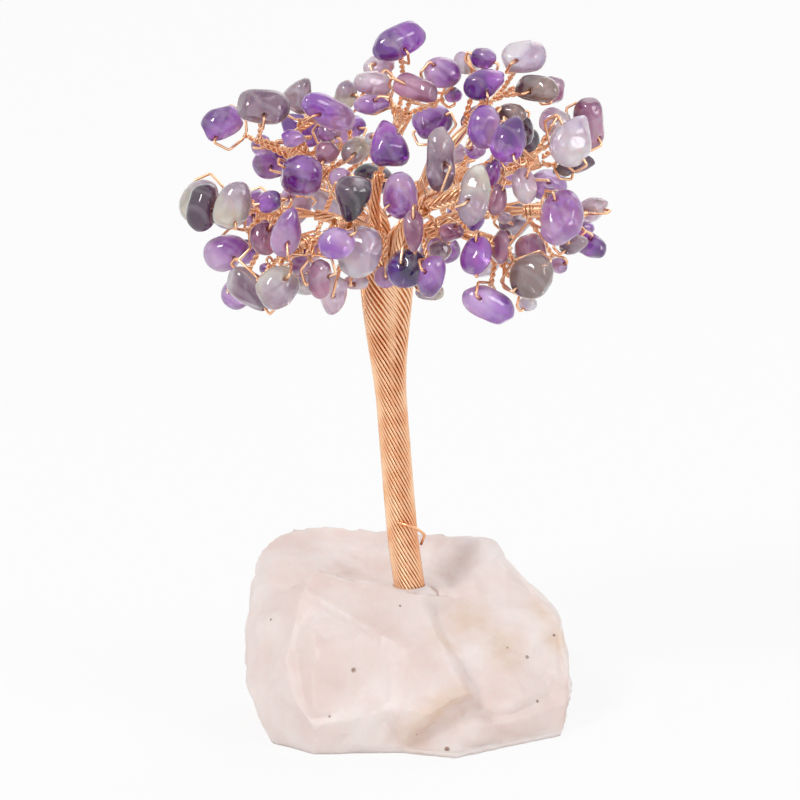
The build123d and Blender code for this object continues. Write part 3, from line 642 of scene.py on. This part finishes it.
for name in limb_names:
    limb_bm = merged_copy(name + "_limb_core")
    limb_tree = BVHTree.FromBMesh(limb_bm)
    strand_bm = merged_copy(name + "_limb_strands")
    bm = merged_copy(name + "_twigs")
    bm.normal_update()
    stems = [(stem_line(group), group) for group in islands(bm)]
    pairs, wraps = [], []
    for corners, group in stems:
        # A twig whose ends aren't found keeps the plain stem of its solid
        if corners is None:
            continue
        neck = corners[0]
        aim = (neck - corners[1]).normalized()
        ahead = [v.co - neck for v in group if 0 < (v.co - neck).dot(aim) < LOOP_LEAST]
        ahead = [p - aim * p.dot(aim) for p in ahead]
        if not ahead:
            continue
        side = max(ahead, key=lambda p: p.length).normalized()
        faces = list({f for v in group for f in v.link_faces})
        edges = list({e for v in group for e in v.link_edges})
        cut = bmesh.ops.bisect_plane(
            bm, geom=group + edges + faces, dist=CUT_WITHIN, clear_inner=True,
            plane_co=neck - aim * COLLAR, plane_no=aim)["geom_cut"]
        bmesh.ops.holes_fill(bm, edges=[g for g in cut if isinstance(g, bmesh.types.BMEdge)])
        start = neck - aim * COLLAR / 2
        for stop in corners[1:]:
            pair, side = wound_pair(start, stop, side)
            pairs.append(pair)
            start = stop
        found = limb_slice(start, limb_bm, limb_tree, strand_bm)
        if found is None:
            continue
        middle, run, radius = found
        wraps.append(root_wrap(start, middle, run, radius))
        # A root that stops short of the limb's wires runs on to them
        inward = middle - start
        inward -= run * inward.dot(run)
        spare = inward.length - radius + ROOT_SINK
        if spare > REACH_LEAST:
            pairs.append(wound_pair(start, start + inward.normalized() * spare, side)[0])
    limb_bm.free()
    strand_bm.free()
    gather(bm, pairs)
    wrap_bm = bmesh.new()
    gather(wrap_bm, wraps)
    piece = finished(wrap_bm, name + "_root_wraps", copper)
    piece = finished(bm, name + "_twisted_twigs", copper)
    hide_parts(name + "_twigs")


# Chips: tumbled amethyst, drilled and threaded on the twigs. Tumbling rounds every edge and
# polishes it. The colour lies in zones, from milky quartz at one end to deep violet at the
# other, so each chip carries its own two colours, with clouds and veins over them.
TONES = {
    "mid": ("#c482de", "#7a2e9c"),
    "mauve": ("#da9abe", "#94447c"),
    "violet": ("#c062e2", "#6a1c96"),
    "lilac": ("#e4b8f4", "#ac62d8"),
    "grey": ("#ccb6c0", "#865c7e"),
    "pink": ("#f9e9f0", "#e0b8d8"),
    "milky": ("#faf4f8", "#dcc4e2"),
    "dark": ("#6c4068", "#280c2c"),
    "smoky": ("#b49a94", "#664648"),
    "indigo": ("#6a38a4", "#280c58"),
    "green": ("#ece6d6", "#c0a6be"),
    "lavender": ("#deb4e6", "#aa62c2"),
}
# The tone of each chip that the picture shows, listed after its column and row
CHIP_TONES = (
    "223,125 mid 268,111 grey 299,97 violet 340,110 lilac 318,109 grey 330,133 mauve 346,98 grey "
    "366,92 pink 379,69 pink 378,108 lavender 399,46 violet 407,94 mauve 445,73 lavender "
    "466,65 mauve 483,62 mid 487,85 violet 520,61 milky 531,92 smoky 552,92 milky 510,117 smoky "
    "528,131 dark 551,124 pink 588,125 mauve 570,143 milky 572,171 dark 487,133 lilac "
    "503,148 violet 475,152 lilac 438,174 grey 472,193 green 491,175 violet 498,199 mauve "
    "524,193 pink 553,219 lavender 563,197 dark 590,209 pink 583,228 grey 586,245 violet "
    "562,249 grey 558,266 lavender 538,255 mauve 521,281 smoky 495,300 lilac 525,305 milky "
    "469,253 violet 415,232 mauve 436,267 mid 405,270 indigo 429,292 green 403,193 lavender "
    "389,153 violet 358,201 dark 305,176 mid 289,196 lavender 328,156 mauve 355,153 green "
    "369,139 milky 262,146 lilac 293,139 lilac 200,202 milky 208,214 dark 238,211 green "
    "269,206 violet 226,249 lavender 246,252 mid 266,242 mauve 288,236 lavender 303,252 violet "
    "301,266 lavender 289,263 green 238,292 lavender 252,288 grey 281,287 green 307,287 milky "
    "322,280 mauve 335,294 pink 338,246 lilac 360,253 milky 382,279 lilac 361,284 pink "
    "453,96 lilac 494,250 mauve 515,258 milky 506,225 milky 442,246 grey 453,237 mauve "
    "341,181 lavender")
UNSEEN_TONES = "lavender mid pink violet mauve milky lilac grey dark lavender green".split()
TONE_REACH = 14.0
UNSEEN_DEPTH = 6.0 * MM
# Each chip's flats, cut at a share of its reach, and the dents that tumbling leaves, as their
# width and depth, with the swelling that makes good what smoothing takes away
CHIP_VOXEL = 0.3 * MM
BREAKS_PER_CHIP = 6
BREAK_SHARES = (0.83, 0.97)
CHIP_PASSES = 3
CHIP_SMOOTH = 0.5
DENT_MM = ((4.2, 0.20), (1.7, 0.06))
SWELL_MM = 0.16
CHANCE_SEED = 7
# How a chip's colour goes from its pale end to its dense end
ZONE_TURNS = (0.7, 0.9, 0.4)
ZONE_MIDDLE = 0.45
ZONE_FALL = 0.9
ZONE_MOTTLE = 0.5
MOTTLE_SIZE = 3.5 * MM
MILK_COLOUR = "#f6eef8"
VEIN_COLOUR = "#fbf6fc"
WISP_SIZE = 4.0 * MM
VEIN_SPACING = 9.0 * MM
DEEP_SIZE = 2.6 * MM
GEM_WAVE_HEIGHT = 0.1 * MM
GEM_LIGHT_DEPTH = 1.4 * MM
# Tumbled amethyst is glassy: half clear and half cloudy, under a wet polish
gem, tree, output = new_material("tumbled_amethyst")
coords = add_node(tree, "ShaderNodeTexCoord").outputs["Object"]
own = add_node(tree, "ShaderNodeAttribute", attribute_name="chip_colour")
wisps = add_node(tree, "ShaderNodeTexNoise", {
    "Vector": coords, "Scale": 1 / WISP_SIZE, "Detail": 3.0, "Distortion": 0.8})
milk = add_node(tree, "ShaderNodeValToRGB", {"Fac": wisps.outputs["Fac"]}, stops=(
    (0.56, (0.0, 0.0, 0.0, 1.0)), (0.74, (0.5, 0.5, 0.5, 1.0))))
clouded = mixed(tree, milk.outputs["Color"], own.outputs["Color"], linear(MILK_COLOUR))
bands = add_node(tree, "ShaderNodeTexWave", {
    "Vector": coords, "Scale": 1 / VEIN_SPACING, "Distortion": 3.5, "Detail": 2.0,
    "Detail Scale": 1.2}, wave_type="BANDS", bands_direction="DIAGONAL")
veins = add_node(tree, "ShaderNodeMapRange", {
    "Value": bands.outputs["Fac"], "From Min": 0.7, "From Max": 1.0, "To Min": 0.0, "To Max": 0.16})
veined = mixed(tree, veins.outputs["Result"], clouded, linear(VEIN_COLOUR))
deep = add_node(tree, "ShaderNodeTexNoise", {"Vector": coords, "Scale": 1 / DEEP_SIZE, "Detail": 2.0})
shade = add_node(tree, "ShaderNodeMapRange", {
    "Value": deep.outputs["Fac"], "To Min": 0.80, "To Max": 1.14})
gem_colour = add_node(tree, "ShaderNodeVectorMath", {
    0: veined, 1: shade.outputs["Result"]}, operation="MULTIPLY")
polish = add_node(tree, "ShaderNodeMapRange", {
    "Value": deep.outputs["Fac"], "To Min": 0.04, "To Max": 0.16})
bump = add_node(tree, "ShaderNodeBump", {
    "Height": deep.outputs["Fac"], "Strength": 0.12, "Distance": GEM_WAVE_HEIGHT})
shader = add_node(tree, "ShaderNodeBsdfPrincipled", {
    "Base Color": gem_colour.outputs["Vector"], "Roughness": polish.outputs["Result"],
    "IOR": QUARTZ_IOR, "Transmission Weight": 0.5, "Subsurface Weight": 0.3,
    "Subsurface Scale": GEM_LIGHT_DEPTH, "Coat Weight": 1.0, "Coat Roughness": 0.02,
    "Normal": bump.outputs["Normal"]})
tree.links.new(shader.outputs["BSDF"], output.inputs["Surface"])


def middle_of(group):
    return sum((v.co for v in group), Vector()) / len(group)


words = CHIP_TONES.split()
tone_places = [tuple(float(v) for v in word.split(",")) for word in words[::2]]
tone_names = words[1::2]
chance = random.Random(CHANCE_SEED)
unseen = 0
for name in limb_names:
    bm = even_skin(merged_copy(name + "_chips"), CHIP_VOXEL)
    paint = bm.verts.layers.float_color.new("chip_colour")
    groups = islands(bm)
    for group in groups:
        middle = middle_of(group)
        for _ in range(BREAKS_PER_CHIP):
            facing = Vector((chance.gauss(0, 1), chance.gauss(0, 1), chance.gauss(0, 1))).normalized()
            top = max((v.co - middle).dot(facing) for v in group) * chance.uniform(*BREAK_SHARES)
            for vert in group:
                beyond = (vert.co - middle).dot(facing) - top
                if beyond > 0:
                    vert.co -= facing * beyond
    for _ in range(CHIP_PASSES):
        smoothed(bm, CHIP_SMOOTH)
    bm.normal_update()
    for group in groups:
        middle = middle_of(group)
        column, row = picture_place(middle)
        gaps = [math.hypot(column - c, row - r) for c, r in tone_places]
        nearest = min(range(len(gaps)), key=gaps.__getitem__)
        tone = tone_names[nearest]
        if gaps[nearest] > TONE_REACH or middle.y > UNSEEN_DEPTH:
            tone = UNSEEN_TONES[unseen % len(UNSEEN_TONES)]
            unseen += 1
        pale, dense = [Vector(linear(code)[:3]) for code in TONES[tone]]
        reach = max((v.co - middle).length for v in group)
        turn_x, turn_y, turn_z = ZONE_TURNS
        zone = Vector((math.sin(column * turn_x), math.cos(row * turn_y), math.sin(row * turn_z + 1)))
        zone.normalize()
        for vert in group:
            along = (vert.co - middle).dot(zone) / reach * ZONE_FALL
            along += noise.noise(vert.co / MOTTLE_SIZE) * ZONE_MOTTLE
            part = min(max(ZONE_MIDDLE + along, 0.0), 1.0)
            vert[paint] = (*pale.lerp(dense, eased(part)), 1.0)
            dent = sum(noise.noise(vert.co / (width * MM)) * depth for width, depth in DENT_MM)
            vert.co += vert.normal * (dent + SWELL_MM) * MM
    piece = finished(bm, name + "_amethyst_chips", gem)
    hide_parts(name + "_chips")


# Floor and light: a matt white table in a white surround, under soft studio light. Both
# show white to the camera, and the table keeps the shadow of the stone.
FLOOR_HALF_WIDTH = 6.0
FLOOR_COLOUR = "#f7f7f7"
FLOOR_GLOW = 0.82
SURROUND_GREY = (0.62, 0.62, 0.63, 1.0)
WHITE = (1.0, 1.0, 1.0, 1.0)
# Name, watts, width and place of each lamp
LAMPS = (
    ("key", 5.6, 0.34, (-0.70, -0.75, 1.05)),
    ("fill", 2.4, 0.45, (0.95, -0.65, 0.60)),
    ("rim", 2.0, 0.8, (0.45, 0.9, 0.85)),
)


def seen_straight(tree):
    # 1 for what the camera sees, straight or in gloss or through a chip, and 0 for the rest.
    path = add_node(tree, "ShaderNodeLightPath")
    seen = add_node(tree, "ShaderNodeMath", {
        0: path.outputs["Is Camera Ray"], 1: path.outputs["Is Glossy Ray"]}, operation="MAXIMUM")
    seen = add_node(tree, "ShaderNodeMath", {
        0: seen.outputs["Value"], 1: path.outputs["Is Transmission Ray"]}, operation="MAXIMUM")
    return seen.outputs["Value"]


floor_bm = bmesh.new()
bmesh.ops.create_grid(floor_bm, x_segments=1, y_segments=1, size=FLOOR_HALF_WIDTH)
floor_mesh = bpy.data.meshes.new("floor")
floor_bm.to_mesh(floor_mesh)
floor_bm.free()
floor_material, tree, output = new_material("white_table")
glow = add_node(tree, "ShaderNodeMath", {0: seen_straight(tree), 1: FLOOR_GLOW}, operation="MULTIPLY")
matt = add_node(tree, "ShaderNodeBsdfPrincipled", {
    "Base Color": linear(FLOOR_COLOUR), "Roughness": 0.9})
white = add_node(tree, "ShaderNodeEmission", {"Color": WHITE, "Strength": 1.0})
both = add_node(tree, "ShaderNodeMixShader", {
    0: glow.outputs["Value"], 1: matt.outputs["BSDF"], 2: white.outputs["Emission"]})
tree.links.new(both.outputs["Shader"], output.inputs["Surface"])
floor_mesh.materials.append(floor_material)
floor = bpy.data.objects.new("floor", floor_mesh)
bpy.context.scene.collection.objects.link(floor)

world = bpy.data.worlds.new("studio")
world.use_nodes = True
tree = world.node_tree
tree.nodes.clear()
light = mixed(tree, seen_straight(tree), SURROUND_GREY, WHITE)
sky = add_node(tree, "ShaderNodeBackground", {"Color": light, "Strength": 1.0})
world_output = add_node(tree, "ShaderNodeOutputWorld")
tree.links.new(sky.outputs["Background"], world_output.inputs["Surface"])
bpy.context.scene.world = world
for name, energy, size, place in LAMPS:
    lamp_data = bpy.data.lights.new(name, "AREA")
    lamp_data.energy = energy
    lamp_data.size = size
    lamp = bpy.data.objects.new(name, lamp_data)
    bpy.context.scene.collection.objects.link(lamp)
    lamp.location = place
    lamp.rotation_euler = (look_at - lamp.location).to_track_quat("-Z", "Y").to_euler()
